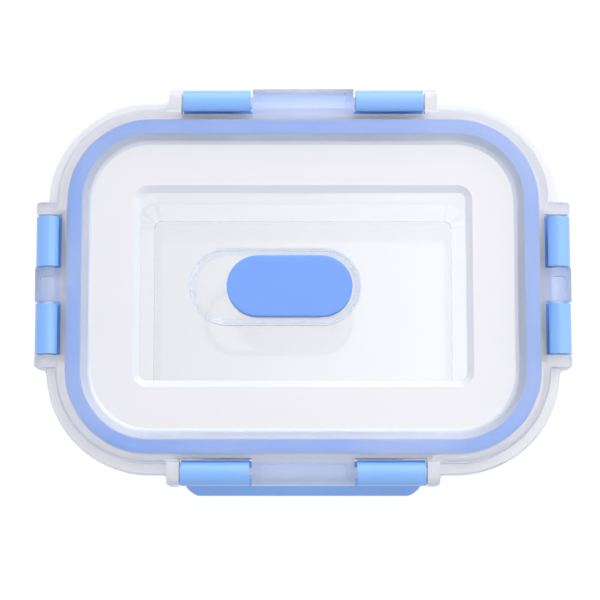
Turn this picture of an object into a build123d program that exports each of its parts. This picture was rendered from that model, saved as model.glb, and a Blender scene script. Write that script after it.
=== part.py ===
"""Rectangular glass food container with a clip-down plastic lid.

The frame has its origin on the table under the middle of the container, +X along the long side, +Y to the
back and +Z up. Lengths are in millimetres and angles in degrees. The lid lies on the glass rim, and the four
latches hang unhooked from their hinge bars, swung out from the hooked position by release_angle.
"""

import os
from dataclasses import dataclass
from functools import partial
from math import cos, radians, sin, sqrt

from build123d import *

# Seal line: the middle of the glass rim. Every outline of the glass and the lid is an offset of it.
seal_length = 159.0
seal_width = 111.8
seal_corner = 26.5

# Glass container
glass_height = 58.0
glass_wall = 3.7
glass_floor = 4.0
glass_draft_run = 9.0  # how far each wall leans in from the flange down to the base
glass_base_fillet = 12.0
glass_inner_fillet = 9.5
flange_under = 46.0  # height of the flange's underside, where the latches hook
flange_thickness = 4.0
flange_reach = 1.9  # how far the flange stands out of the rim's outer wall
flange_round = 1.5
flange_root_round = 0.7
rim_flat = 0.2  # the level strip left between the rim's two rounds
foot_width = 4.5
foot_depth = 0.8
foot_round = 0.5

# Seal ring
seal_overhang = 0.55  # how far the ring stands out past each side of the glass rim
seal_ring_height = 3.0
groove_inset = 0.25  # each side of the ring's groove, in from the rim's side
seal_groove_depth = 0.6
seal_gap = 0.1  # between the glass rim and the roof of the ring's groove
channel_clearance = 0.1

# Lid
lid_wall = 1.7
ridge_reach = 5.8  # seal line to the ridge's outer face
ridge_rise = 6.0  # ridge top over the brim
ridge_round = 1.0
brim_reach = 9.4  # seal line to the brim's outer face
brim_round = 0.8
skirt_overlap = 1.0  # how far the brim's skirt drops past the top of the glass flange
flange_gap = 1.0  # between the glass flange and the lid's walls above it
ledge_height = 3.6  # the thick band round the seal ring, from the channel's roof down
rib_depth = 5.6  # the locating rib inside the glass rim, from the channel's roof down
rib_wall = 1.8
panel_inset = 6.3  # seal line to the panel's edge
panel_slope = 3.5
panel_depth = 3.0
window_length = 118.0
window_width = 70.6
window_corner = 5.2
window_slope = 2.3
window_depth = 1.4

# Vent
finger_gap = 10.7  # the well's floor left of the plug
well_slope = 2.5
well_depth = 3.0
well_centre = -9.8
plug_length = 43.8
plug_width = 21.6
plug_thickness = 3.2
plug_end_gap = 0.5  # between the plug's fixed end and the foot of the well's slope
plug_side_gap = 0.3  # between the plug's sides and the foot of the well's slope
plug_float = 0.2  # the flap's underside over the well's floor
plug_edge_round = 0.7
tab_bevel = 1.4  # how much thinner the flap is at its finger tab
tab_length = 5.6
anchor_length = 10.0
anchor_stem_radius = 2.0
anchor_stem_clearance = 0.1
anchor_head_radius = 3.2
anchor_head_height = 1.6
hinge_slit = 0.25
vent_hole_radius = 3.0
vent_hole_from_hinge = 17.0
nub_clearance = 0.1
nub_length = 2.4
nub_taper = 0.75

# Latches
hinge_reach = 8.9  # seal line to the hinge bar's axis
hinge_drop = 4.6  # ridge top down to the axis
bar_radius = 2.0
bar_clearance = 0.1
barrel_radius = 4.45
barrel_wall_gap = 0.4  # between a barrel and the lid's wall behind it
barrel_mouth = 3.2  # the slot that snaps over the bar
barrel_mouth_angle = 155.0
long_latch = 84.0
short_latch = 48.0
long_block = 35.2
short_block = 11.4
block_gap = 0.8
block_round = 2.0
lug_gap = 0.5
lug_width = 4.2
lug_round = 3.4  # along the lug's upper outer edge, in section
lug_end_round = 1.2  # at the corners of the lug's outer end, in plan
lug_root_round = 2.6  # where the lug's far side runs into the brim, in plan
pocket_margin = 2.8
pocket_width = 5.4
pocket_depth = 1.9
pocket_round = 1.0
latch_length = 26.0  # axis down to the lip
latch_wall = 2.2
latch_clearance = 0.4  # plate to the glass flange when hooked
latch_corner = 9.0
hook_reach = 1.9
hook_height = 6.5
hook_tip = 0.9
hook_gap = 0.2
hook_margin = 7.0
lip_flare = 6.2
lip_height = 11.0
lip_round = 0.9
notch_gap = 0.6  # between the plate's notch and the block it swings round
notch_corner = 1.2
release_angle = 9.2

# Offsets and heights that follow
rim_outer = glass_wall / 2
rim_round = (glass_wall - rim_flat) / 2
flange_outer = rim_outer + flange_reach
flange_top = flange_under + flange_thickness
seal_ring_width = glass_wall + 2 * seal_overhang
seal_groove_width = glass_wall - 2 * groove_inset
channel_half = seal_ring_width / 2 + channel_clearance
notch_reach = hinge_reach - barrel_radius - barrel_wall_gap
seal_roof = glass_height + seal_gap - seal_groove_depth + seal_ring_height
ring_bottom = seal_roof - seal_ring_height
ledge_bottom = seal_roof - ledge_height
rib_bottom = seal_roof - rib_depth
ridge_top = seal_roof + lid_wall
brim_top = ridge_top - ridge_rise
brim_under = brim_top - lid_wall
skirt_bottom = flange_top - skirt_overlap
walls_bottom = flange_top + flange_gap
panel_top = ridge_top - panel_depth
window_top = panel_top - window_depth
well_floor = window_top - well_depth
axis_height = ridge_top - hinge_drop
wall_face = notch_reach - hinge_reach
well_length = plug_length + plug_end_gap + finger_gap + 2 * well_slope
well_width = plug_width + 2 * plug_side_gap + 2 * well_slope
plug_right = well_centre + well_length / 2 - well_slope - plug_end_gap
plug_centre = plug_right - plug_length / 2
plug_left = plug_right - plug_length
plug_underside = well_floor + plug_float
plug_top = plug_underside + plug_thickness
flap_hinge = plug_right - anchor_length
vent_centre = flap_hinge - vent_hole_from_hinge
anchor_centre = flap_hinge + anchor_length / 2
plate_inner = flange_outer + latch_clearance - hinge_reach
plate_outer = plate_inner + latch_wall
hook_top = flange_under - hook_gap - axis_height
notch_depth = sqrt(2) * (barrel_radius - block_round) + block_round + notch_gap


@dataclass
class Side:
    """One side of the container: the way it faces, how far out its hinge axis is, and its latch's widths."""

    name: str
    outward: tuple
    axis_distance: float
    latch_width: float
    block_width: float

    @property
    def bay_width(self):
        """Width of the gap between the two lugs."""
        return self.latch_width + 2 * lug_gap

    def section(self, angle=0.0):
        """Plane across the hinge axis: local X outward, Y up and Z along the axis, turned out by angle."""
        x, y = self.outward
        level, rise = cos(radians(angle)), sin(radians(angle))
        origin = (x * self.axis_distance, y * self.axis_distance, axis_height)
        return Plane(origin=origin, x_dir=(x * level, y * level, rise), z_dir=(y, -x, 0))

    def elevation(self, angle=0.0):
        """Plane that faces outward: local X along the hinge axis and Y up, turned out with the section."""
        section = self.section(angle)
        return Plane(origin=section.origin, x_dir=-section.z_dir, z_dir=section.x_dir)

    def level(self, height):
        """Horizontal plane at a height over the hinge axis: local X along the axis and Y outward."""
        x, y = self.outward
        return Plane(origin=(x * self.axis_distance, y * self.axis_distance, height), x_dir=(y, -x, 0))

    def plan(self, along, inner, outer, mode=Mode.ADD):
        """Rectangle in the open XY sketch, from inner to outer as measured from the container's middle."""
        x, y = self.outward
        size = (along, outer - inner) if x == 0 else (outer - inner, along)
        with Locations((x * (inner + outer) / 2, y * (inner + outer) / 2)):
            Rectangle(*size, mode=mode)


front_distance = seal_width / 2 + hinge_reach
end_distance = seal_length / 2 + hinge_reach
sides = [
    Side("front", (0, -1), front_distance, long_latch, long_block),
    Side("back", (0, 1), front_distance, long_latch, long_block),
    Side("left", (-1, 0), end_distance, short_latch, short_block),
    Side("right", (1, 0), end_distance, short_latch, short_block),
]


def outline(reach, mode=Mode.ADD):
    """The seal line's rounded rectangle, offset outwards by reach, in the open sketch."""
    RectangleRounded(seal_length + 2 * reach, seal_width + 2 * reach, seal_corner + reach, mode=mode)


def latch_backs(mode=Mode.ADD):
    """What lies behind each latch and its lugs' inner walls, outwards from the seal channel, in the open sketch."""
    for side in sides:
        inner = side.axis_distance - hinge_reach + channel_half
        side.plan(side.bay_width + 2 * lid_wall, inner, inner + brim_reach, mode=mode)


def window_outline(grow=0.0, mode=Mode.ADD):
    """The window's rounded rectangle in the open sketch."""
    RectangleRounded(window_length + 2 * grow, window_width + 2 * grow, window_corner + grow, mode=mode)


def well_outline(grow=0.0, mode=Mode.ADD):
    """The vent well's slot shape in the open sketch."""
    with Locations((well_centre, 0)):
        SlotOverall(well_length + 2 * grow, well_width + 2 * grow, mode=mode)


def slab(shape, low, high, mode=Mode.ADD, without=()):
    """Extrudes an outline between two heights, less the outlines in without."""
    with BuildSketch(Plane.XY.offset(low)) as section:
        shape()
        for left_out in without:
            left_out(mode=Mode.SUBTRACT)
    extrude(section.sketch, amount=high - low, mode=mode)


def tapered(shape, low, size_low, high, size_high, mode=Mode.ADD):
    """Lofts an outline of one size at the lower height to another size at the upper height."""
    ends = []
    for height, size in ((low, size_low), (high, size_high)):
        with BuildSketch(Plane.XY.offset(height)) as section:
            shape(size)
        ends.append(section.sketch.face())
    loft(sections=ends, mode=mode)


def flat_face(height):
    """The largest horizontal face at a height in the open part."""
    level = faces().filter_by(Plane.XY).filter_by_position(Axis.Z, height - 0.01, height + 0.01)
    return level.sort_by(SortBy.AREA)[-1]


def plug_blank(low):
    """The whole vent plug's slot shape from a height up to its rounded top, in the open part."""
    with BuildSketch(Plane.XY.offset(low)) as section:
        with Locations((plug_centre, 0)):
            SlotOverall(plug_length, plug_width)
    extrude(section.sketch, amount=plug_top - low)
    fillet(flat_face(plug_top).edges(), plug_edge_round)


def save(part, name):
    """Labels a finished piece and writes its STEP file."""
    part.label = name
    export_step(part, f"parts/{name}.step")


os.makedirs("parts", exist_ok=True)

# Glass container: drafted walls, a flange for the latches and a rim for the seal ring
with BuildPart() as glass:
    tapered(outline, 0.0, rim_outer - glass_draft_run, flange_under, rim_outer)
    fillet(flat_face(0.0).edges(), glass_base_fillet)
    slab(partial(outline, rim_outer), flange_under, glass_height)
    slab(partial(outline, flange_outer), flange_under, flange_top)
    for height in (flange_under, flange_top):
        fillet(flat_face(height).outer_wire().edges(), flange_round)
        fillet(flat_face(height).inner_wires()[0].edges(), flange_root_round)
with BuildPart() as hollow:
    floor_lean = glass_draft_run * (1 - glass_floor / flange_under)
    tapered(outline, glass_floor, -rim_outer - floor_lean, flange_under, -rim_outer)
    fillet(flat_face(glass_floor).edges(), glass_inner_fillet)
    slab(partial(outline, -rim_outer), flange_under, glass_height + rim_round)
with BuildPart() as container:
    add(glass.part)
    add(hollow.part, mode=Mode.SUBTRACT)
    fillet(flat_face(glass_height).edges(), rim_round)
    foot_reach = rim_outer - glass_draft_run - glass_base_fillet - foot_width
    slab(partial(outline, foot_reach), 0.0, foot_depth, mode=Mode.SUBTRACT)
    fillet(flat_face(foot_depth).edges(), foot_round)
save(container.part, "glass_container")

# Seal ring, grooved underneath where the glass rim seats
with BuildPart() as seal_ring:
    ring_inside = partial(outline, -seal_ring_width / 2)
    slab(partial(outline, seal_ring_width / 2), ring_bottom, seal_roof, without=(ring_inside,))
    groove = partial(outline, seal_groove_width / 2)
    groove_inside = partial(outline, -seal_groove_width / 2)
    slab(groove, ring_bottom, ring_bottom + seal_groove_depth, mode=Mode.SUBTRACT, without=(groove_inside,))
save(seal_ring.part, "seal_gasket")

# Hinge lugs of each side, rounded in section along their upper edge and in plan at their ends
lugs = {}
for side in sides:
    lug_span = side.bay_width + 2 * lug_width
    with BuildPart() as pair:
        with BuildSketch(side.section().offset(-lug_span / 2)) as profile:
            with BuildLine():
                Polyline(
                    (wall_face, barrel_radius),
                    (barrel_radius, barrel_radius),
                    (barrel_radius, skirt_bottom - axis_height),
                    (wall_face, skirt_bottom - axis_height),
                    close=True,
                )
            make_face()
            fillet(profile.vertices().sort_by(Axis((0, 0, 0), (1, 1, 0)))[-1], lug_round)
        extrude(profile.sketch, amount=lug_span)
        with BuildSketch(side.level(skirt_bottom)) as ends:
            for middle in (-(side.bay_width + lug_width) / 2, (side.bay_width + lug_width) / 2):
                with Locations((middle, wall_face)):
                    Rectangle(lug_width, barrel_radius - wall_face, align=(Align.CENTER, Align.MIN))
            fillet(ends.vertices().group_by(Axis.Y)[-1], lug_end_round)
        extrude(ends.sketch, amount=ridge_top - skirt_bottom, mode=Mode.INTERSECT)
    lugs[side.name] = pair.part

# Lid: ridge and brim, the hinges of each side, the underside, and last the recesses in the top
with BuildPart() as lid:
    slab(partial(outline, brim_reach), skirt_bottom, brim_top)
    fillet(flat_face(brim_top).edges(), brim_round)
    slab(partial(outline, ridge_reach), brim_top - brim_round, ridge_top)
    fillet(flat_face(ridge_top).edges(), ridge_round)

    for side in sides:
        with BuildSketch(Plane.XY.offset(skirt_bottom)) as bay:
            side.plan(side.bay_width, side.axis_distance + wall_face, side.axis_distance + brim_reach)
        extrude(bay.sketch, amount=ridge_top - skirt_bottom, mode=Mode.SUBTRACT)

        add(lugs[side.name])
        with BuildSketch(side.level(skirt_bottom)) as roots:
            for turn in (1, -1):
                near = turn * side.bay_width / 2
                far = turn * (side.bay_width / 2 + lug_width)
                with BuildLine():
                    Polyline(
                        (near, -barrel_radius),
                        (near, barrel_radius),
                        (far, barrel_radius),
                        (far, brim_reach - hinge_reach),
                        (far + turn * (lug_root_round + 0.1), brim_reach - hinge_reach),
                        (far + turn * (lug_root_round + 0.1), -barrel_radius),
                        close=True,
                    )
                make_face()
            fillet(roots.vertices().group_by(Axis.Y)[2], lug_end_round)
            inner_corners = roots.vertices().group_by(Axis.Y)[1].sort_by(Axis.X)
            fillet(inner_corners[1:-1], lug_root_round)
        extrude(roots.sketch, amount=brim_top - brim_round - skirt_bottom)

        with BuildSketch(side.section().offset(-side.block_width / 2)) as block:
            with BuildLine():
                Polyline(
                    (wall_face, barrel_radius),
                    (barrel_radius, barrel_radius),
                    (barrel_radius, -barrel_radius),
                    (wall_face, -barrel_radius),
                    close=True,
                )
            make_face()
            fillet(block.vertices().sort_by(Axis((0, 0, 0), (1, 1, 0)))[-1], block_round)
            fillet(block.vertices().sort_by(Axis((0, 0, 0), (1, -1, 0)))[-1], barrel_radius - 0.1)
        extrude(block.sketch, amount=side.block_width)

        with BuildSketch(side.section().offset(-side.bay_width / 2 - lug_width / 2)) as bar:
            Circle(bar_radius)
        extrude(bar.sketch, amount=side.bay_width + lug_width)

        with BuildSketch(Plane.XY.offset(axis_height + barrel_radius - pocket_depth)) as pocket:
            middle = side.axis_distance + (wall_face + barrel_radius) / 2
            along = side.block_width - 2 * pocket_margin
            side.plan(along, middle - pocket_width / 2, middle + pocket_width / 2)
            fillet(pocket.vertices(), pocket_round)
        extrude(pocket.sketch, amount=2 * pocket_depth, mode=Mode.SUBTRACT)

    inside_channel = partial(outline, -channel_half)
    slab(partial(outline, brim_reach - lid_wall), skirt_bottom, walls_bottom, mode=Mode.SUBTRACT)
    slab(
        partial(outline, brim_reach - lid_wall),
        walls_bottom,
        brim_under,
        mode=Mode.SUBTRACT,
        without=(latch_backs,),
    )
    slab(
        partial(outline, ridge_reach - lid_wall),
        brim_under,
        ledge_bottom,
        mode=Mode.SUBTRACT,
        without=(latch_backs, inside_channel),
    )
    slab(partial(outline, channel_half), ledge_bottom, seal_roof, mode=Mode.SUBTRACT, without=(inside_channel,))
    slab(inside_channel, brim_under, rib_bottom, mode=Mode.SUBTRACT)
    slab(partial(outline, -channel_half - rib_wall), rib_bottom, panel_top - lid_wall, mode=Mode.SUBTRACT)
    slab(window_outline, window_top - lid_wall, panel_top - lid_wall)
    slab(well_outline, well_floor - lid_wall, window_top - lid_wall)

    tapered(outline, panel_top, -panel_inset, ridge_top, panel_slope - panel_inset, mode=Mode.SUBTRACT)
    tapered(window_outline, window_top, -window_slope, panel_top, 0.0, mode=Mode.SUBTRACT)
    tapered(well_outline, well_floor, -well_slope, window_top, 0.0, mode=Mode.SUBTRACT)
    for hole_centre, hole_radius in (
        (vent_centre, vent_hole_radius),
        (anchor_centre, anchor_stem_radius + anchor_stem_clearance),
    ):
        with BuildSketch(Plane.XY.offset(well_floor - lid_wall)) as hole:
            with Locations((hole_centre, 0)):
                Circle(hole_radius)
        extrude(hole.sketch, amount=lid_wall, mode=Mode.SUBTRACT)
save(lid.part, "lid")

# Vent plug, one silicone moulding in two halves: the fixed end with its stem, and the flap with its nub
with BuildPart() as vent_anchor:
    plug_blank(well_floor)
    split(bisect_by=Plane.YZ.offset(flap_hinge + hinge_slit / 2), keep=Keep.TOP)
    for low, high, radius in (
        (well_floor - lid_wall, well_floor, anchor_stem_radius),
        (well_floor - lid_wall - anchor_head_height, well_floor - lid_wall, anchor_head_radius),
    ):
        with BuildSketch(Plane.XY.offset(low)) as disc:
            with Locations((anchor_centre, 0)):
                Circle(radius)
        extrude(disc.sketch, amount=high - low)
    chamfer(faces().sort_by(Axis.Z)[0].edges(), anchor_head_height / 2)
save(vent_anchor.part, "vent_anchor")

with BuildPart() as vent_flap:
    plug_blank(plug_underside)
    split(bisect_by=Plane.YZ.offset(flap_hinge - hinge_slit / 2), keep=Keep.BOTTOM)
    with BuildSketch(Plane.XZ) as bevel:
        with BuildLine():
            Polyline(
                (plug_left, plug_underside),
                (plug_left + tab_length, plug_underside),
                (plug_left, plug_underside + tab_bevel),
                close=True,
            )
        make_face()
    extrude(bevel.sketch, amount=plug_width, both=True, mode=Mode.SUBTRACT)
    nub_ends = []
    nub_radius = vent_hole_radius - nub_clearance
    for height, radius in ((plug_underside, nub_radius), (plug_underside - nub_length, nub_radius - nub_taper)):
        with BuildSketch(Plane.XY.offset(height)) as nub:
            with Locations((vent_centre, 0)):
                Circle(radius)
        nub_ends.append(nub.sketch.face())
    loft(sections=nub_ends)
save(vent_flap.part, "vent_flap")

# Latches: knuckles that snap over the bars, a plate with the hook, and a finger lip
for side in sides:
    half = side.latch_width / 2
    with BuildPart() as latch:
        with BuildSketch(side.section(release_angle)) as plate:
            with BuildLine():
                Polyline(
                    (plate_inner, -barrel_radius / 2),
                    (plate_inner, lip_height - latch_length),
                    (plate_inner + lip_flare, -latch_length),
                    (plate_outer + lip_flare, -latch_length),
                    (plate_outer, lip_height - latch_length),
                    (plate_outer, -barrel_radius / 2),
                    close=True,
                )
            make_face()
            fillet(plate.vertices().group_by(Axis.Y)[1], lip_height)
            fillet(plate.vertices().group_by(Axis.Y)[0], lip_round)
            Circle(barrel_radius)
        extrude(plate.sketch, amount=half, both=True)

        with BuildSketch(side.elevation(release_angle)) as face:
            with Locations((0, -latch_length)):
                Rectangle(side.latch_width, latch_length + barrel_radius, align=(Align.CENTER, Align.MIN))
            fillet(face.vertices().group_by(Axis.Y)[0], latch_corner)
            with Locations((0, -notch_depth)):
                notch_size = (side.block_width + 2 * block_gap, notch_depth + barrel_radius)
                Rectangle(*notch_size, align=(Align.CENTER, Align.MIN), mode=Mode.SUBTRACT)
        extrude(face.sketch, amount=barrel_radius + lip_flare, both=True, mode=Mode.INTERSECT)

        with BuildSketch(side.section(release_angle)) as hook:
            with BuildLine():
                Polyline(
                    (plate_inner, hook_top),
                    (plate_inner - hook_reach, hook_top),
                    (plate_inner - hook_reach, hook_top - hook_tip),
                    (plate_inner, hook_top - hook_height),
                    (plate_inner + latch_wall / 2, hook_top - hook_height),
                    (plate_inner + latch_wall / 2, hook_top),
                    close=True,
                )
            make_face()
        extrude(hook.sketch, amount=half - hook_margin, both=True)

        with BuildSketch(side.section(release_angle)) as bore:
            Circle(bar_radius + bar_clearance)
            with Locations(Rotation(0, 0, barrel_mouth_angle)):
                Rectangle(2 * barrel_radius, barrel_mouth, align=(Align.MIN, Align.CENTER))
        extrude(bore.sketch, amount=half, both=True, mode=Mode.SUBTRACT)
    save(latch.part, f"latch_{side.name}")
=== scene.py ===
"""Dresses a rectangular glass food container with a clip-down lid, and lights it as a product on white."""

import logging
import math
from dataclasses import dataclass, field
from enum import Enum
from typing import Any

import bmesh
import bpy
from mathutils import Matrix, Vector

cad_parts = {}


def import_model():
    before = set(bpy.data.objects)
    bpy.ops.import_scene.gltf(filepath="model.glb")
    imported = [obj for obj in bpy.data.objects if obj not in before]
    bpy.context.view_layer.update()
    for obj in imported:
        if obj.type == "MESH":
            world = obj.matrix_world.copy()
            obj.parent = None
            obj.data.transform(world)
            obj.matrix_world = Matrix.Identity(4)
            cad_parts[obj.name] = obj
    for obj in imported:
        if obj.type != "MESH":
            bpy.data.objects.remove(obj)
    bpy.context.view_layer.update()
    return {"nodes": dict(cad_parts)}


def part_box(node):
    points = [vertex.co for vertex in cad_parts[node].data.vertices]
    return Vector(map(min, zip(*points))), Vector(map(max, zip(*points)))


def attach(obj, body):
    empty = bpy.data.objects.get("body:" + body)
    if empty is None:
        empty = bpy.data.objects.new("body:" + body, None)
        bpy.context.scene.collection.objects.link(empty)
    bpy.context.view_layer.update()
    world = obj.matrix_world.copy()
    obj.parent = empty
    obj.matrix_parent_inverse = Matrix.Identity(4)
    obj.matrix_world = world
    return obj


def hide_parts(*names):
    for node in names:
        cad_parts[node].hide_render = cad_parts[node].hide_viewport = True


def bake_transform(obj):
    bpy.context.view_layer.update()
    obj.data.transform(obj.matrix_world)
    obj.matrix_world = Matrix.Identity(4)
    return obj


log = logging.getLogger("container")

MM = 0.001  # sizes in millimetres are turned to metres with this

Span = tuple[float, float]
Point = tuple[float, float, float]
Tree = bpy.types.NodeTree
Socket = bpy.types.NodeSocket


def to_linear(colour: str, alpha: float = 1.0) -> tuple[float, float, float, float]:
    """Turns an sRGB hex colour to linear values.

    Args:
        colour: Six hex digits, with or without a leading #.
        alpha: The fourth value.

    Returns:
        Linear red, green and blue, and alpha.
    """
    digits = colour.lstrip("#")
    channels = [int(digits[i : i + 2], 16) / 255 for i in (0, 2, 4)]
    red, green, blue = (c / 12.92 if c <= 0.04045 else ((c + 0.055) / 1.055) ** 2.4 for c in channels)
    return red, green, blue, alpha


def add_node(tree: Tree, kind: str, inputs: dict[Any, Any] | None = None, **settings: Any) -> Any:
    """Adds a node with its settings, and sets or links its inputs.

    Args:
        tree: The node tree that gets the node.
        kind: The node's type name.
        inputs: Input name or index to a value, or to the output socket that feeds it.
        settings: Properties of the node.

    Returns:
        The new node.
    """
    node = tree.nodes.new(kind)
    for name, value in settings.items():
        setattr(node, name, value)
    for name, value in (inputs or {}).items():
        if isinstance(value, Socket):
            tree.links.new(value, node.inputs[name])
        else:
            node.inputs[name].default_value = value
    return node


def pass_shadow_rays(tree: Tree, shader: Socket, colour: str) -> None:
    """Ends a clear material: shadow rays go straight through it, tinted, and all others meet its shader.

    Args:
        tree: The material's tree.
        shader: The shader's socket.
        colour: The tint that the shadow rays take.
    """
    light = add_node(tree, "ShaderNodeLightPath")
    passed = add_node(tree, "ShaderNodeBsdfTransparent", {"Color": to_linear(colour)})
    mix = add_node(
        tree,
        "ShaderNodeMixShader",
        {0: light.outputs["Is Shadow Ray"], 1: shader, 2: passed.outputs["BSDF"]},
    )
    add_node(tree, "ShaderNodeOutputMaterial", {"Surface": mix.outputs["Shader"]})


def new_tree(name: str) -> tuple[bpy.types.Material, Tree]:
    """Makes an empty node material.

    Args:
        name: The material's name.

    Returns:
        The material and its tree.
    """
    material = bpy.data.materials.new(name)
    material.use_nodes = True
    material.node_tree.nodes.clear()
    return material, material.node_tree


def set_material(piece: bpy.types.Object, material: bpy.types.Material) -> None:
    """Gives a piece one material on all its faces.

    Args:
        piece: The piece.
        material: Its material.
    """
    piece.data.materials.clear()
    piece.data.materials.append(material)


def add_object(name: str, data: bpy.types.ID) -> bpy.types.Object:
    """Puts a mesh, a lamp or a camera in the scene.

    Args:
        name: The object's name.
        data: What it holds.

    Returns:
        The new object.
    """
    made = bpy.data.objects.new(name, data)
    bpy.context.scene.collection.objects.link(made)
    return made


def smooth(mesh: bpy.types.Mesh) -> None:
    """Shades all of a mesh's faces smooth.

    Args:
        mesh: The mesh.
    """
    mesh.polygons.foreach_set("use_smooth", [True] * len(mesh.polygons))


class Facing(Enum):
    """The way a side of the container faces."""

    FRONT = "front"
    BACK = "back"
    LEFT = "left"
    RIGHT = "right"


@dataclass(frozen=True)
class PressedGlass:
    """Borosilicate glass, pressed and fire-polished: clear, with a faint cool tint in its thickness."""

    tint: str = "F6FAFA"
    ior: float = 1.473
    ripple_mm: float = 14.0
    ripple_height_mm: float = 0.05
    ripple_strength: float = 0.25
    marks_mm: float = 22.0
    marks_roughness: float = 0.05

    def material(self) -> bpy.types.Material:
        """Builds the glass.

        Returns:
            The material.
        """
        material, tree = new_tree("pressed_borosilicate_glass")
        place = add_node(tree, "ShaderNodeTexCoord").outputs["Object"]
        # The mould chills the glass as it is pressed, which leaves a slow ripple in the walls.
        ripple = add_node(
            tree, "ShaderNodeTexNoise", {"Vector": place, "Scale": 1 / (self.ripple_mm * MM), "Detail": 1.0}
        )
        bump = add_node(
            tree,
            "ShaderNodeBump",
            {
                "Height": ripple.outputs["Fac"],
                "Strength": self.ripple_strength,
                "Distance": self.ripple_height_mm * MM,
            },
        )
        # Fingers and washing leave soft marks that show only as a slightly duller shine.
        marks = add_node(
            tree, "ShaderNodeTexNoise", {"Vector": place, "Scale": 1 / (self.marks_mm * MM), "Detail": 4.0}
        )
        dullness = add_node(
            tree,
            "ShaderNodeMapRange",
            {
                "Value": marks.outputs["Fac"],
                "From Min": 0.55,
                "From Max": 0.8,
                "To Min": 0.0,
                "To Max": self.marks_roughness,
            },
        )
        glass = add_node(
            tree,
            "ShaderNodeBsdfPrincipled",
            {
                "Base Color": to_linear(self.tint),
                "Roughness": dullness.outputs["Result"],
                "IOR": self.ior,
                "Transmission Weight": 1.0,
                "Normal": bump.outputs["Normal"],
            },
        )
        pass_shadow_rays(tree, glass.outputs["BSDF"], self.tint)
        return material


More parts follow.
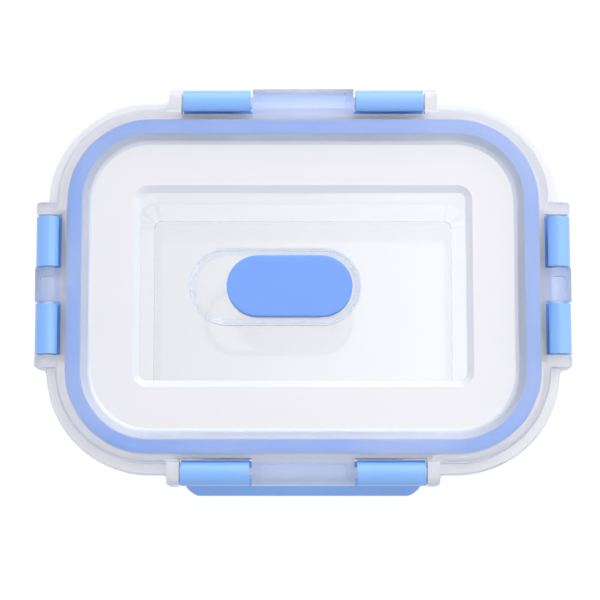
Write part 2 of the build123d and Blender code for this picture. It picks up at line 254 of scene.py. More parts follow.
@dataclass(frozen=True)
class TranslucentLidPlastic:
    """Natural polypropylene, moulded: milky and satin, but polished and nearly clear in the window."""

    colour: str = "F1EFF1"
    # painted reflection: the bluer colour that steep faces take, standing in for the ring's and the latches'
    # blue
    painted_blue_reflection_colour: str = "E7EEFA"
    window_colour: str = "EDEBED"
    shadow_colour: str = "F0F1F6"
    ior: float = 1.49
    satin_roughness: float = 0.30
    polished_roughness: float = 0.035
    satin_clearness: float = 0.42
    window_clearness: float = 0.93
    window_mm: tuple[Point, Point] = ((0, 0, 52.9), (56.7, 33.0, 57.95))
    ridge_clearness: float = 0.90
    ridge_level_mm: float = 60.4
    ridge_fade_mm: float = 0.8
    brim_clearness: float = 0.30
    brim_level_mm: float = 56.3
    # The middle blocks are hollow and clearer, and the lugs are solid and milkier:
    # corner, corner, clearness.
    zones_mm: tuple[tuple[Point, Point, float], ...] = (
        ((0, 60.4, 49), (18, 75, 63), 0.64),
        ((84, 0, 49), (95, 6.2, 63), 0.64),
        ((42.4, 60.4, 56.3), (47.5, 75, 63), 0.06),
        ((84, 24.4, 56.3), (95, 29.5, 63), 0.32),
    )
    drift_mm: float = 35.0
    drift_clearness: float = 0.04
    scuffs_mm: float = 6.0
    scuff_roughness: float = 0.05
    # A moulded satin's real grain is about 0.05 mm, drawn this coarse so that it shows.
    grain_mm: float = 0.7
    grain_depth_mm: float = 0.02
    grain_strength: float = 0.22

    def box_mask(self, tree: Tree, place: Socket, low: Point, high: Point) -> Socket:
        """Finds a box and its mirror images across both middle planes: 1 inside and 0 elsewhere.

        Args:
            tree: The material's tree.
            place: The Object coordinates.
            low: The box's lower corner in millimetres.
            high: The box's upper corner in millimetres.

        Returns:
            The mask's socket.
        """
        size = add_node(tree, "ShaderNodeVectorMath", {0: place}, operation="ABSOLUTE")
        axes = add_node(tree, "ShaderNodeSeparateXYZ", {"Vector": size.outputs[0]})
        mask = None
        for axis, start, end in zip("XYZ", low, high):
            middle, half = (start + end) / 2 * MM, (end - start) / 2 * MM
            inputs = {0: axes.outputs[axis], 1: middle, 2: half}
            test = add_node(tree, "ShaderNodeMath", inputs, operation="COMPARE").outputs[0]
            if mask is None:
                mask = test
            else:
                mask = add_node(tree, "ShaderNodeMath", {0: mask, 1: test}, operation="MULTIPLY").outputs[0]
        return mask

    def clearness(self, tree: Tree, place: Socket, window: Socket) -> Socket:
        """Works out how much of the light goes through each part of the lid.

        Args:
            tree: The material's tree.
            place: The Object coordinates.
            window: The window's mask.

        Returns:
            The clearness.
        """
        level = add_node(tree, "ShaderNodeSeparateXYZ", {"Vector": place}).outputs["Z"]
        plain = add_node(
            tree,
            "ShaderNodeMix",
            {"Factor": window, 2: self.satin_clearness, 3: self.window_clearness},
            data_type="FLOAT",
        )
        # The melt cools unevenly, so the milkiness drifts a little from one part of the lid to another.
        cloud = add_node(
            tree, "ShaderNodeTexNoise", {"Vector": place, "Scale": 1 / (self.drift_mm * MM), "Detail": 2.0}
        )
        drift = add_node(
            tree,
            "ShaderNodeMapRange",
            {
                "Value": cloud.outputs["Fac"],
                "From Min": 0.3,
                "From Max": 0.7,
                "To Min": -self.drift_clearness,
                "To Max": self.drift_clearness,
            },
        )
        clear = add_node(
            tree, "ShaderNodeMath", {0: plain.outputs[0], 1: drift.outputs["Result"]}, operation="ADD"
        )
        # The ridge lies close over the seal ring, so the ring shows through it.
        on_ridge = add_node(
            tree,
            "ShaderNodeMapRange",
            {
                "Value": level,
                "From Min": (self.ridge_level_mm - self.ridge_fade_mm) * MM,
                "From Max": self.ridge_level_mm * MM,
                "To Min": 0.0,
                "To Max": self.ridge_clearness - self.satin_clearness,
            },
        )
        clear = add_node(
            tree, "ShaderNodeMath", {0: clear.outputs[0], 1: on_ridge.outputs["Result"]}, operation="ADD"
        )
        # The brim is seen through its skirt as well, twice the plastic.
        below_brim = add_node(
            tree, "ShaderNodeMath", {0: level, 1: self.brim_level_mm * MM}, operation="LESS_THAN"
        )
        on_brim = add_node(
            tree, "ShaderNodeMath", {0: below_brim.outputs[0], 1: window}, operation="SUBTRACT"
        )
        masks = [(on_brim.outputs[0], self.brim_clearness)]
        masks += [(self.box_mask(tree, place, low, high), share) for low, high, share in self.zones_mm]
        for mask, share in masks:
            clear = add_node(
                tree,
                "ShaderNodeMath",
                {0: mask, 1: share - self.satin_clearness, 2: clear.outputs[0]},
                operation="MULTIPLY_ADD",
                use_clamp=True,
            )
        return clear.outputs[0]

    def roughness(self, tree: Tree, place: Socket, window: Socket) -> Socket:
        """Works out the roughness, satin or polished, with scuffs.

        Args:
            tree: The material's tree.
            place: The Object coordinates.
            window: The window's mask.

        Returns:
            The roughness.
        """
        plain = add_node(
            tree,
            "ShaderNodeMix",
            {"Factor": window, 2: self.satin_roughness, 3: self.polished_roughness},
            data_type="FLOAT",
        )
        # Washing and stacking leave fine scuffs, a few millimetres apart and all ways round.
        scuffs = add_node(
            tree,
            "ShaderNodeTexNoise",
            {
                "Vector": place,
                "Scale": 1 / (self.scuffs_mm * MM),
                "Detail": 6.0,
                "Roughness": 0.75,
                "Distortion": 1.4,
            },
        )
        lines = add_node(
            tree,
            "ShaderNodeMapRange",
            {"Value": scuffs.outputs["Fac"], "From Min": 0.60, "From Max": 0.72, "To Min": 0.0, "To Max": 1.0},
        )
        scuffed = add_node(
            tree,
            "ShaderNodeMath",
            {0: lines.outputs["Result"], 1: self.scuff_roughness, 2: plain.outputs[0]},
            operation="MULTIPLY_ADD",
        )
        return scuffed.outputs[0]

    def tint(self, tree: Tree, window: Socket) -> Socket:
        """Works out the colour, with a painted blue reflection on slopes and walls.

        Args:
            tree: The material's tree.
            window: The window's mask.

        Returns:
            The colour.
        """
        flat = add_node(
            tree,
            "ShaderNodeMix",
            {"Factor": window, 6: to_linear(self.colour), 7: to_linear(self.window_colour)},
            data_type="RGBA",
        )
        # The ring's and the latches' blue on slopes and walls is painted in, carried sideways: a painted
        # reflection of those parts.
        normal = add_node(tree, "ShaderNodeNewGeometry").outputs["Normal"]
        facing = add_node(tree, "ShaderNodeSeparateXYZ", {"Vector": normal})
        steep = add_node(
            tree,
            "ShaderNodeMapRange",
            {"Value": facing.outputs["Z"], "From Min": 0.70, "From Max": 0.97, "To Min": 1.0, "To Max": 0.0},
        )
        tinted = add_node(
            tree,
            "ShaderNodeMix",
            {"Factor": steep.outputs["Result"], 6: flat.outputs[2], 7: to_linear(self.painted_blue_reflection_colour)},
            data_type="RGBA",
        )
        return tinted.outputs[2]

    def grain(self, tree: Tree, place: Socket, window: Socket) -> Socket:
        """Works out the normal, with the mould's satin grain everywhere but in the polished window.

        Args:
            tree: The material's tree.
            place: The Object coordinates.
            window: The window's mask.

        Returns:
            The normal.
        """
        grain = add_node(
            tree, "ShaderNodeTexNoise", {"Vector": place, "Scale": 1 / (self.grain_mm * MM), "Detail": 2.0}
        )
        satin = add_node(tree, "ShaderNodeMath", {0: 1.0, 1: window}, operation="SUBTRACT")
        height = add_node(
            tree, "ShaderNodeMath", {0: grain.outputs["Fac"], 1: satin.outputs[0]}, operation="MULTIPLY"
        )
        bump = add_node(
            tree,
            "ShaderNodeBump",
            {
                "Height": height.outputs[0],
                "Strength": self.grain_strength,
                "Distance": self.grain_depth_mm * MM,
            },
        )
        return bump.outputs["Normal"]

    def material(self) -> bpy.types.Material:
        """Builds the lid's plastic.

        Returns:
            The material.
        """
        material, tree = new_tree("translucent_polypropylene")
        place = add_node(tree, "ShaderNodeTexCoord").outputs["Object"]
        window = self.box_mask(tree, place, *self.window_mm)
        plastic = add_node(
            tree,
            "ShaderNodeBsdfPrincipled",
            {
                "Base Color": self.tint(tree, window),
                "Roughness": self.roughness(tree, place, window),
                "IOR": self.ior,
                "Transmission Weight": self.clearness(tree, place, window),
                "Normal": self.grain(tree, place, window),
            },
        )
        pass_shadow_rays(tree, plastic.outputs["BSDF"], self.shadow_colour)
        return material


@dataclass(frozen=True)
class Silicone:
    """Cured silicone rubber: soft, even colour with a low oily shine, dusted where it has been handled."""

    name: str
    colour: str = "7BA6F7"
    deep_colour: str = "76A1F4"
    mottle_mm: float = 9.0
    roughness: float = 0.42
    ior: float = 1.41
    sheen: float = 0.05
    depth: float = 0.12
    depth_mm: Point = (0.6, 0.9, 1.6)
    lint_mm: float = 1.6
    lint_roughness: float = 0.14
    # A matt mould's real grain is about 0.1 mm, drawn this coarse so that it shows.
    grain_mm: float = 0.5
    grain_depth_mm: float = 0.02
    grain_strength: float = 0.18

    def material(self) -> bpy.types.Material:
        """Builds the silicone.

        Returns:
            The material.
        """
        material, tree = new_tree(self.name)
        place = add_node(tree, "ShaderNodeTexCoord").outputs["Object"]
        cloud = add_node(
            tree, "ShaderNodeTexNoise", {"Vector": place, "Scale": 1 / (self.mottle_mm * MM), "Detail": 3.0}
        )
        colour = add_node(
            tree,
            "ShaderNodeMix",
            {"Factor": cloud.outputs["Fac"], 6: to_linear(self.colour), 7: to_linear(self.deep_colour)},
            data_type="RGBA",
        )
        # Fine lint clings to silicone, and lifts the roughness in small spots.
        lint = add_node(
            tree, "ShaderNodeTexNoise", {"Vector": place, "Scale": 1 / (self.lint_mm * MM), "Detail": 4.0}
        )
        dull = add_node(
            tree,
            "ShaderNodeMapRange",
            {
                "Value": lint.outputs["Fac"],
                "From Min": 0.45,
                "From Max": 0.75,
                "To Min": self.roughness,
                "To Max": self.roughness + self.lint_roughness,
            },
        )
        grain = add_node(
            tree, "ShaderNodeTexNoise", {"Vector": place, "Scale": 1 / (self.grain_mm * MM), "Detail": 1.0}
        )
        bump = add_node(
            tree,
            "ShaderNodeBump",
            {
                "Height": grain.outputs["Fac"],
                "Strength": self.grain_strength,
                "Distance": self.grain_depth_mm * MM,
            },
        )
        rubber = add_node(
            tree,
            "ShaderNodeBsdfPrincipled",
            {
                "Base Color": colour.outputs[2],
                "Roughness": dull.outputs["Result"],
                "IOR": self.ior,
                "Subsurface Weight": self.depth,
                "Subsurface Radius": tuple(reach * MM for reach in self.depth_mm),
                "Subsurface Scale": 1.0,
                "Sheen Weight": self.sheen,
                "Normal": bump.outputs["Normal"],
            },
        )
        add_node(tree, "ShaderNodeOutputMaterial", {"Surface": rubber.outputs["BSDF"]})
        return material


@dataclass(frozen=True)
class LatchPlastic:
    """Coloured polypropylene from a spark-eroded mould: satin, and rubbed pale on its edges."""

    colour: str = "89BBFF"
    rubbed_colour: str = "A6CCFE"
    roughness: float = 0.30
    ior: float = 1.49
    depth: float = 0.08
    depth_mm: Point = (0.5, 0.8, 1.6)
    edge_mm: float = 0.45
    edge_samples: int = 6
    edge_wear: float = 0.55
    flow_mm: float = 18.0
    flow_shade: float = 0.06
    rub_mm: float = 4.0
    rub_roughness: Span = (-0.02, 0.04)
    # Spark erosion's real grain is about 0.1 mm, drawn this coarse so that it shows.
    grain_mm: float = 0.6
    grain_depth_mm: float = 0.02
    grain_strength: float = 0.2

    def tint(self, tree: Tree, place: Socket, edge: Socket) -> Socket:
        """Works out the colour: palest on rubbed edges, and a little paler where the melt flowed.

        Args:
            tree: The material's tree.
            place: The Object coordinates.
            edge: The normal with rounded edges.

        Returns:
            The colour.
        """
        normal = add_node(tree, "ShaderNodeNewGeometry").outputs["Normal"]
        turn = add_node(tree, "ShaderNodeVectorMath", {0: edge, 1: normal}, operation="DOT_PRODUCT")
        worn = add_node(
            tree,
            "ShaderNodeMapRange",
            {
                "Value": turn.outputs["Value"],
                "From Min": 0.80,
                "From Max": 0.97,
                "To Min": self.edge_wear,
                "To Max": 0.0,
            },
        )
        flow = add_node(
            tree, "ShaderNodeTexNoise", {"Vector": place, "Scale": 1 / (self.flow_mm * MM), "Detail": 2.0}
        )
        shade = add_node(
            tree,
            "ShaderNodeMapRange",
            {
                "Value": flow.outputs["Fac"],
                "From Min": 0.3,
                "From Max": 0.7,
                "To Min": 0.0,
                "To Max": self.flow_shade,
            },
        )
        amount = add_node(
            tree,
            "ShaderNodeMath",
            {0: worn.outputs["Result"], 1: shade.outputs["Result"]},
            operation="ADD",
            use_clamp=True,
        )
        colour = add_node(
            tree,
            "ShaderNodeMix",
            {"Factor": amount.outputs[0], 6: to_linear(self.colour), 7: to_linear(self.rubbed_colour)},
            data_type="RGBA",
        )
        return colour.outputs[2]

    def material(self) -> bpy.types.Material:
        """Builds the latch plastic.

        Returns:
            The material.
        """
        material, tree = new_tree("moulded_blue_polypropylene")
        place = add_node(tree, "ShaderNodeTexCoord").outputs["Object"]
        rounded = add_node(tree, "ShaderNodeBevel", {"Radius": self.edge_mm * MM}, samples=self.edge_samples)
        edge = rounded.outputs["Normal"]
        rub = add_node(
            tree, "ShaderNodeTexNoise", {"Vector": place, "Scale": 1 / (self.rub_mm * MM), "Detail": 5.0}
        )
        dull = add_node(
            tree,
            "ShaderNodeMapRange",
            {
                "Value": rub.outputs["Fac"],
                "From Min": 0.35,
                "From Max": 0.7,
                "To Min": self.roughness + self.rub_roughness[0],
                "To Max": self.roughness + self.rub_roughness[1],
            },
        )
        grain = add_node(
            tree, "ShaderNodeTexNoise", {"Vector": place, "Scale": 1 / (self.grain_mm * MM), "Detail": 1.0}
        )
        bump = add_node(
            tree,
            "ShaderNodeBump",
            {
                "Height": grain.outputs["Fac"],
                "Strength": self.grain_strength,
                "Distance": self.grain_depth_mm * MM,
                "Normal": edge,
            },
        )
        plastic = add_node(
            tree,
            "ShaderNodeBsdfPrincipled",
            {
                "Base Color": self.tint(tree, place, edge),
                "Roughness": dull.outputs["Result"],
                "IOR": self.ior,
                "Subsurface Weight": self.depth,
                "Subsurface Radius": tuple(reach * MM for reach in self.depth_mm),
                "Subsurface Scale": 1.0,
                "Normal": bump.outputs["Normal"],
            },
        )
        add_node(tree, "ShaderNodeOutputMaterial", {"Surface": plastic.outputs["BSDF"]})
        return material


@dataclass
class GlassContainer:
    """The glass, as the frame gives it."""

    node: bpy.types.Object
    finish: PressedGlass = field(default_factory=PressedGlass)

    def dress(self) -> None:
        """Gives the glass its material."""
        set_material(self.node, self.finish.material())
        log.info("glass_container dressed")


@dataclass
class Lid:
    """The lid moulding, as the frame gives it."""

    node: bpy.types.Object
    finish: TranslucentLidPlastic = field(default_factory=TranslucentLidPlastic)

    def dress(self) -> None:
        """Gives the lid its material."""
        set_material(self.node, self.finish.material())
        log.info("lid dressed")


@dataclass
class SealRing:
    """The silicone seal ring: a grooved section with two soft lips, carried round a rounded rectangle."""

    width: float = 4.8
    height: float = 2.97
    corner: float = 26.5
    lip: float = 0.55
    edge_round: float = 0.35
    waist: float = 0.18
    waist_shares: Point = (0.45, 0.55, 0.68)  # its start, its middle and its end, down the height
    groove_half: float = 1.45
    groove_depth: float = 0.6
    roof_gap: float = 0.03  # keeps the ring's top just off the roof of its channel
    corner_steps: int = 28
    finish: Silicone = field(
        default_factory=lambda: Silicone(
            "seal_silicone", colour="6CA8F0", deep_colour="66A2EC", roughness=0.38
        )
    )

    def section(self) -> list[tuple[float, float]]:
        """Lists the section's points, in millimetres from the middle of the ring's top.

        Returns:
            Points across and down, all the way round.
        """
        side, deep, soft = self.width / 2, self.height, self.edge_round
        start, middle, end = self.waist_shares
        left = [
            (-side + soft, 0.0),
            (-side, soft),
            (-side, deep * start),
            (-side + self.waist, deep * middle),
            (-side, deep * end),
            (-side, deep - soft),
            (-side + soft, deep),
            (-side + soft + self.lip, deep),
            (-self.groove_half, deep - self.groove_depth),
        ]
        return left + [(-across, down) for across, down in reversed(left)]

    def tree(self, material: bpy.types.Material) -> Tree:
        """Builds the tree that carries the section round the ring's path.

        Args:
            material: The ring's finish.

        Returns:
            The geometry node tree.
        """
        tree = bpy.data.node_groups.new("seal_ring_sweep", "GeometryNodeTree")
        tree.interface.new_socket("Section", in_out="INPUT", socket_type="NodeSocketGeometry")
        for name in ("Length", "Width", "Corner", "Top"):
            tree.interface.new_socket(name, in_out="INPUT", socket_type="NodeSocketFloat")
        tree.interface.new_socket("Ring", in_out="OUTPUT", socket_type="NodeSocketGeometry")
        given = add_node(tree, "NodeGroupInput")
        path = add_node(
            tree,
            "GeometryNodeCurvePrimitiveQuadrilateral",
            {"Width": given.outputs["Length"], "Height": given.outputs["Width"]},
        )
        rounded = add_node(
            tree,
            "GeometryNodeFilletCurve",
            {"Curve": path.outputs["Curve"], "Count": self.corner_steps, "Radius": given.outputs["Corner"]},
            mode="POLY",
        )
        lift = add_node(tree, "ShaderNodeCombineXYZ", {"Z": given.outputs["Top"]})
        raised = add_node(
            tree,
            "GeometryNodeTransform",
            {"Geometry": rounded.outputs["Curve"], "Translation": lift.outputs["Vector"]},
        )
        section = add_node(tree, "GeometryNodeMeshToCurve", {"Mesh": given.outputs["Section"]})
        swept = add_node(
            tree,
            "GeometryNodeCurveToMesh",
            {"Curve": raised.outputs["Geometry"], "Profile Curve": section.outputs["Curve"]},
        )
        real = add_node(tree, "GeometryNodeRealizeInstances", {"Geometry": swept.outputs["Mesh"]})
        dressed = add_node(
            tree, "GeometryNodeSetMaterial", {"Geometry": real.outputs["Geometry"], "Material": material}
        )
        add_node(tree, "NodeGroupOutput", {"Ring": dressed.outputs["Geometry"]})
        return tree

    def sweep(self, material: bpy.types.Material) -> bpy.types.Mesh:
        """Sweeps the section round the path that the frame's ring takes.

        Args:
            material: The ring's finish.

        Returns:
            The ring's mesh, closed and facing out.
        """
        low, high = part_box("seal_gasket")
        seed = bpy.data.meshes.new("seal_section")
        # The sweep lays the section's Y downwards.
        points = [(across * MM, down * MM, 0.0) for across, down in self.section()]
        seed.from_pydata(points, [(i, (i + 1) % len(points)) for i in range(len(points))], [])
        maker = add_object("seal_maker", seed)
        tree = self.tree(material)
        modifier = maker.modifiers.new("sweep", "NODES")
        modifier.node_group = tree
        names = {s.name: s.identifier for s in tree.interface.items_tree if s.in_out == "INPUT"}
        modifier[names["Length"]] = high.x - low.x - self.width * MM
        modifier[names["Width"]] = high.y - low.y - self.width * MM
        modifier[names["Corner"]] = self.corner * MM
        modifier[names["Top"]] = high.z - self.roof_gap * MM
        bpy.context.view_layer.update()
        evaluated = maker.evaluated_get(bpy.context.evaluated_depsgraph_get())
        mesh = bpy.data.meshes.new_from_object(evaluated)
        bpy.data.objects.remove(maker)
        shape = bmesh.new()
        shape.from_mesh(mesh)
        bmesh.ops.remove_doubles(shape, verts=shape.verts, dist=0.001 * MM)
        bmesh.ops.recalc_face_normals(shape, faces=shape.faces)
        shape.to_mesh(mesh)
        shape.free()
        smooth(mesh)
        return mesh

    def build(self) -> bpy.types.Object:
        """Makes the ring in the place the frame gives it.

        Returns:
            The ring.
        """
        material = self.finish.material()
        mesh = self.sweep(material)
        ring = add_object("seal_ring", mesh)
        set_material(ring, material)
        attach(ring, "lid")
        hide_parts("seal_gasket")
        log.info("seal_ring swept with %d faces", len(mesh.polygons))
        return ring


@dataclass
class VentPlug:
    """The silicone vent plug, one moulding that bends at a groove under it."""

    slab_height: float = 3.2
    edge_round: float = 0.7
    edge_steps: int = 5
    foot_inset: float = 0.3
    foot_rise: float = 0.35
    groove_half: float = 1.3
    groove_depth: float = 2.3
    groove_clear: float = 0.25
    tab_length: float = 5.6
    tab_bevel: float = 1.4
    nub_radius: float = 2.9
    nub_taper: float = 0.75
    nub_round: float = 0.25
    nub_shoulder: float = 0.2
    nub_tip: float = 0.15
    stem_radius: float = 2.0
    head_radius: float = 3.2
    head_height: float = 1.6
    head_bevel: float = 0.8
    overlap: float = 0.3  # how far the nub and the stem reach up into the slab
    vent_from_hinge: float = 17.0
    columns: int = 12
    end_turns: tuple[int, ...] = (2, 6, 12, 20, 30, 42, 54, 66, 78, 90)
    middle_steps: int = 14
    groove_shares: tuple[float, ...] = (-1.0, -0.66, -0.33, 0.0, 0.33, 0.66, 1.0)
    round_sides: int = 40
    finish: Silicone = field(default_factory=lambda: Silicone("vent_silicone"))

    def __post_init__(self) -> None:
        """Reads the plug's place from the frame."""
        flap_low, flap_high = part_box("vent_flap")
        anchor_low, anchor_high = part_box("vent_anchor")
        self.left = flap_low.x / MM
        self.right = anchor_high.x / MM
        self.half_width = (flap_high.y - flap_low.y) / 2 / MM
        self.top = flap_high.z / MM
        self.hinge = (flap_high.x + anchor_low.x) / 2 / MM
        self.nub_low = flap_low.z / MM
        self.stem_low = anchor_low.z / MM
        self.underside = self.top - self.slab_height

    def stations(self) -> list[float]:
        """Lists the x positions of the plug's cross lines, closer together at its ends and its groove.

        Returns:
            Positions in millimetres, from left to right.
        """
        radius = self.half_width
        turns = [math.radians(turn) for turn in self.end_turns]
        left = [self.left + radius * (1 - math.cos(turn)) for turn in turns]
        right = [self.right - radius * (1 - math.cos(turn)) for turn in turns]
        steps = self.middle_steps
        middle = [left[-1] + (right[-1] - left[-1]) * i / steps for i in range(1, steps)]
        groove = [self.hinge + share * self.groove_half for share in self.groove_shares]
        kept_off = self.groove_half + self.groove_clear
        near = [x for x in left + middle + right if abs(x - self.hinge) > kept_off]
        return sorted(near + groove)

    def half_at(self, x: float, inset: float) -> float:
        """Gives the plug's half width at a cross line.

        Args:
            x: The cross line's position.
            inset: How far the outline is drawn in.

        Returns:
            Half the width, in millimetres.
        """
        radius = self.half_width
        over = max(self.left + radius - x, x - self.right + radius, 0.0)
        full = math.sqrt(max(radius * radius - over * over, 0.0))
        return full * (radius - inset) / radius

    def floor_at(self, x: float) -> float:
        """Gives the height of the plug's underside, raised in the groove and at the finger tab.

        Args:
            x: The cross line's position.

        Returns:
            The height in millimetres.
        """
        lift = self.groove_depth * max(0.0, 1 - abs(x - self.hinge) / self.groove_half)
        tab = self.tab_bevel * max(0.0, 1 - (x - self.left) / self.tab_length)
        return self.underside + max(lift, tab)

    def ring_at(self, x: float) -> list[Point]:
        """Lists one cross line's points, across the top and back along the underside.

        Args:
            x: The cross line's position.

        Returns:
            Points in millimetres.
        """
        top_half = self.half_at(x, self.edge_round)
        across = [((-1 + 2 * i / self.columns) * top_half, self.top) for i in range(self.columns + 1)]
        right_side = []
        for i in range(1, self.edge_steps + 1):
            turn = math.radians(90 * i / self.edge_steps)
            inset = self.edge_round * (1 - math.sin(turn))
            drop = self.edge_round * (1 - math.cos(turn))
            right_side.append((self.half_at(x, inset), self.top - drop))
        floor = self.floor_at(x)
        foot_half = self.half_at(x, self.foot_inset)
        right_side += [(self.half_at(x, 0.0), floor + self.foot_rise), (foot_half, floor)]
        under = [(foot_half * (1 - 2 * i / self.columns), floor) for i in range(1, self.columns)]
        left_side = [(-y, z) for y, z in reversed(right_side)]
        return [(x, y, z) for y, z in across + right_side + under + left_side]

    def body(self, shape: bmesh.types.BMesh) -> None:
        """Adds the plug's rounded slab to a shape.

        Args:
            shape: The shape that gets it.
        """
        rings = []
        for x in self.stations():
            rings.append([shape.verts.new(Vector(point) * MM) for point in self.ring_at(x)])
        count = len(rings[0])
        for near, far in zip(rings, rings[1:]):
            for i in range(count):
                j = (i + 1) % count
                shape.faces.new((near[i], near[j], far[j], far[i]))
        shape.faces.new(rings[0])
        shape.faces.new(list(reversed(rings[-1])))

    def turned(self, shape: bmesh.types.BMesh, x: float, profile: list[tuple[float, float]]) -> None:
        """Adds a turned form, closed at both ends, to a shape.

        Args:
            shape: The shape that gets it.
            x: Where its axis stands.
            profile: Radius and height pairs, from its top down.
        """
        sides = self.round_sides
        rings = []
        for radius, height in profile:
            ring = []
            for i in range(sides):
                turn = 2 * math.pi * i / sides
                point = Vector((x + radius * math.cos(turn), radius * math.sin(turn), height))
                ring.append(shape.verts.new(point * MM))
            rings.append(ring)
        for upper, lower in zip(rings, rings[1:]):
            for i in range(sides):
                j = (i + 1) % sides
                shape.faces.new((upper[i], lower[i], lower[j], upper[j]))
        shape.faces.new(rings[0])
        shape.faces.new(list(reversed(rings[-1])))

    def nub(self, shape: bmesh.types.BMesh) -> None:
        """Adds the nub that closes the vent hole.

        Args:
            shape: The shape that gets it.
        """
        tip = self.nub_radius - self.nub_taper
        profile = [
            (self.nub_radius, self.underside + self.overlap),
            (self.nub_radius, self.underside),
            (tip + self.nub_shoulder, self.nub_low + self.nub_round),
            (tip - self.nub_tip, self.nub_low),
        ]
        self.turned(shape, self.hinge - self.vent_from_hinge, profile)

    def stem(self, shape: bmesh.types.BMesh) -> None:
        """Adds the stem and the head that hold the plug's fixed end in the lid.

        Args:
            shape: The shape that gets them.
        """
        head_top = self.stem_low + self.head_height
        profile = [
            (self.stem_radius, self.underside + self.overlap),
            (self.stem_radius, head_top),
            (self.head_radius, head_top),
            (self.head_radius, head_top - self.head_height / 2),
            (self.head_radius - self.head_bevel, self.stem_low),
        ]
        self.turned(shape, (self.hinge + self.right) / 2, profile)

    def build(self) -> bpy.types.Object:
        """Makes the plug, one mesh that runs from the flap to the fixed end.

        Returns:
            The plug.
        """
        shape = bmesh.new()
        self.body(shape)
        self.nub(shape)
        self.stem(shape)
        bmesh.ops.recalc_face_normals(shape, faces=shape.faces)
        mesh = bpy.data.meshes.new("vent_plug")
        shape.to_mesh(mesh)
        shape.free()
        smooth(mesh)
        plug = add_object("vent_plug", mesh)
        set_material(plug, self.finish.material())
        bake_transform(plug)
        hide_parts("vent_flap", "vent_anchor")
        log.info("vent_plug built with %d faces", len(mesh.polygons))
        return plug


@dataclass
class Latches:
    """The latches, as the frame gives them, in one coloured plastic."""

    nodes: dict[str, bpy.types.Object]
    finish: LatchPlastic = field(default_factory=LatchPlastic)

    def dress(self) -> None:
        """Gives every latch the same material."""
        material = self.finish.material()
        for facing in Facing:
            set_material(self.nodes[f"latch_{facing.value}"], material)
            log.info("latch_%s dressed", facing.value)


@dataclass(frozen=True)
class Softbox:
    """A softbox that faces the container: its place and size in metres, and its power in watts."""

    name: str
    place: Point
    size: Span
    watts: float
    aim: Point = (0, 0, 0.05)

    def hang(self) -> None:
        """Hangs the softbox, out of sight of reflections and of what is seen through the lid."""
        lamp = bpy.data.lights.new(self.name, "AREA")
        lamp.shape = "RECTANGLE"
        lamp.size, lamp.size_y = self.size
        lamp.energy = self.watts
        holder = add_object(self.name, lamp)
        holder.location = self.place
        holder.rotation_euler = (Vector(self.aim) - Vector(self.place)).to_track_quat("-Z", "Y").to_euler()
        holder.visible_glossy = False
        holder.visible_transmission = False


@dataclass(frozen=True)
class Room:
    """The room: plain white to the eye, and shaped for reflections, for clear pieces and for light."""

    colour: str = "F7F8FB"
    dim_level: float = 0.40
    glare_level: float = 2.9
    wall_level: float = 2.4
    front_light: float = 0.38
    back_light: float = 0.66
    overhead_gain: float = 0.6
    through_level: float = 1.12

    def build(self) -> None:
        """Sets the room as the scene's world."""
        world = bpy.data.worlds.new("room")
        bpy.context.scene.world = world
        world.use_nodes = True
        tree = world.node_tree
        tree.nodes.clear()
        light = add_node(tree, "ShaderNodeLightPath").outputs
        way = add_node(tree, "ShaderNodeTexCoord").outputs["Generated"]
        sides = add_node(tree, "ShaderNodeSeparateXYZ", {"Vector": way}).outputs
        # The room is brighter to the right, which puts a soft glare on that end of the lid.
        glare = add_node(
            tree,
            "ShaderNodeMapRange",
            {
                "Value": sides["X"],
                "From Min": -0.20,
                "From Max": 0.22,
                "To Min": self.dim_level,
                "To Max": self.glare_level,
            },
            interpolation_type="SMOOTHERSTEP",
        )
        # A white wall behind the table shows in what faces back.
        wall = add_node(
            tree,
            "ShaderNodeMapRange",
            {"Value": sides["Y"], "From Min": 0.30, "From Max": 0.75, "To Min": 0.0, "To Max": self.wall_level},
            interpolation_type="SMOOTHSTEP",
        )
        reflected = add_node(
            tree, "ShaderNodeMath", {0: glare.outputs["Result"], 1: wall.outputs["Result"]}, operation="ADD"
        )
        # The side the camera stands on is the darkest.
        lit = add_node(
            tree,
            "ShaderNodeMapRange",
            {
                "Value": sides["Y"],
                "From Min": -0.9,
                "From Max": 0.2,
                "To Min": self.front_light,
                "To Max": self.back_light,
            },
        )
        level = add_node(
            tree,
            "ShaderNodeMix",
            {"Factor": light["Is Glossy Ray"], 2: lit.outputs["Result"], 3: reflected.outputs[0]},
        )
        # Clear pieces show the glare from overhead, and an even white from the sides.
        overhead = add_node(
            tree,
            "ShaderNodeMapRange",
            {"Value": sides["Z"], "From Min": 0.75, "From Max": 0.95, "To Min": 0.0, "To Max": 1.0},
        )
        above = add_node(
            tree, "ShaderNodeMath", {0: glare.outputs["Result"], 1: self.overhead_gain}, operation="ADD"
        )
        through = add_node(
            tree,
            "ShaderNodeMix",
            {"Factor": overhead.outputs["Result"], 2: self.through_level, 3: above.outputs[0]},
        )
        level = add_node(
            tree,
            "ShaderNodeMix",
            {"Factor": light["Is Transmission Ray"], 2: level.outputs[0], 3: through.outputs[0]},
        )
        room = add_node(
            tree, "ShaderNodeBackground", {"Color": to_linear(self.colour), "Strength": level.outputs[0]}
        )
        white = add_node(tree, "ShaderNodeBackground", {"Color": to_linear("FFFFFF"), "Strength": 1.0})
        mix = add_node(
            tree,
            "ShaderNodeMixShader",
            {0: light["Is Camera Ray"], 1: room.outputs["Background"], 2: white.outputs["Background"]},
        )
        add_node(tree, "ShaderNodeOutputWorld", {"Surface": mix.outputs["Shader"]})


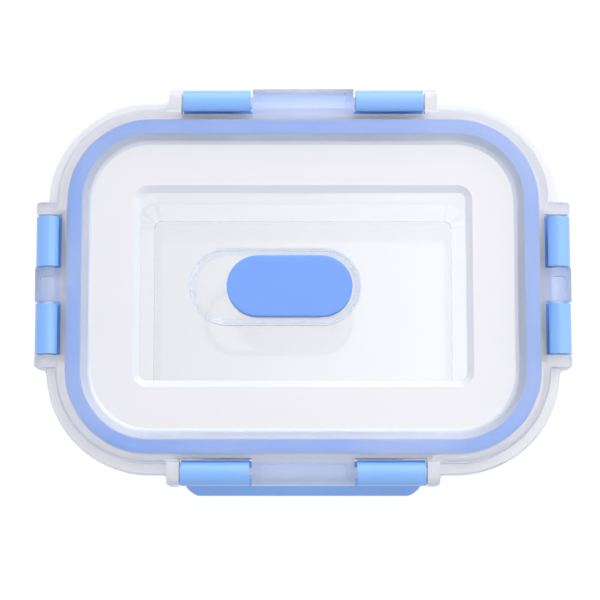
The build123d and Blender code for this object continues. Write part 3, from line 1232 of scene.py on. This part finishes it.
@dataclass
class Studio:
    """A white sweep in a white room, four softboxes, and a camera almost straight above."""

    aim_mm: Point = (-1.1, -5.5, 62.0)
    distance_mm: float = 700.0
    tilt_deg: float = 7.5
    lens_mm: float = 121.8
    sensor_mm: float = 36.0
    view_end: float = 20.0  # metres
    floor_half: float = 3.0  # metres
    floor_colour: str = "F4F4F6"
    floor_glow: float = 1.06
    glow_share: float = 0.86
    room: Room = field(default_factory=Room)
    softboxes: tuple[Softbox, ...] = (
        Softbox("ceiling_right", (0.45, 0.30, 1.5), (0.9, 0.9), 6.2),
        Softbox("fill_left", (-1.0, 0.35, 1.2), (0.9, 0.9), 4.9),
        Softbox("low_back_right", (1.0, 1.3, 0.45), (0.8, 0.5), 12.0),
        Softbox("high_front", (0.0, -0.9, 1.5), (0.9, 0.6), 2.3),
    )

    def floor(self) -> None:
        """Makes the floor, white to the eye but still holding a soft shadow."""
        mesh = bpy.data.meshes.new("floor")
        size = self.floor_half
        corners = [(-size, -size, 0), (size, -size, 0), (size, size, 0), (-size, size, 0)]
        mesh.from_pydata(corners, [], [(0, 1, 2, 3)])
        floor = add_object("floor", mesh)
        material, tree = new_tree("white_sweep")
        light = add_node(tree, "ShaderNodeLightPath").outputs
        seen = add_node(
            tree, "ShaderNodeMath", {0: light["Is Camera Ray"], 1: light["Is Glossy Ray"]}, operation="MAXIMUM"
        )
        seen = add_node(
            tree, "ShaderNodeMath", {0: seen.outputs[0], 1: light["Is Transmission Ray"]}, operation="MAXIMUM"
        )
        share = add_node(
            tree, "ShaderNodeMath", {0: seen.outputs[0], 1: self.glow_share}, operation="MULTIPLY"
        )
        matt = add_node(tree, "ShaderNodeBsdfDiffuse", {"Color": to_linear(self.floor_colour)})
        glow = add_node(
            tree, "ShaderNodeEmission", {"Color": to_linear("FFFFFF"), "Strength": self.floor_glow}
        )
        mix = add_node(
            tree,
            "ShaderNodeMixShader",
            {0: share.outputs[0], 1: matt.outputs["BSDF"], 2: glow.outputs["Emission"]},
        )
        add_node(tree, "ShaderNodeOutputMaterial", {"Surface": mix.outputs["Shader"]})
        set_material(floor, material)

    def camera(self) -> None:
        """Places the camera above the front edge."""
        aim = Vector(self.aim_mm) * MM
        tilt = math.radians(self.tilt_deg)
        camera = bpy.data.cameras.new("camera")
        camera.lens = self.lens_mm
        camera.sensor_width = self.sensor_mm
        camera.clip_end = self.view_end
        holder = add_object("camera", camera)
        holder.location = aim + Vector((0, -math.sin(tilt), math.cos(tilt))) * self.distance_mm * MM
        holder.rotation_euler = (aim - holder.location).to_track_quat("-Z", "Y").to_euler()
        bpy.context.scene.camera = holder

    def build(self) -> None:
        """Sets up the floor, the room, the lamps, the camera and the view."""
        self.floor()
        self.room.build()
        for softbox in self.softboxes:
            softbox.hang()
        self.camera()
        bpy.context.scene.view_settings.view_transform = "Standard"


def main() -> None:
    """Builds the container's pieces in order, then the studio."""
    logging.basicConfig(level=logging.INFO, format="%(name)s: %(message)s")
    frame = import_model()
    nodes = frame["nodes"]
    GlassContainer(nodes["glass_container"]).dress()
    Lid(nodes["lid"]).dress()
    SealRing().build()
    VentPlug().build()
    Latches(nodes).dress()
    Studio().build()


if __name__ == "__main__":
    main()
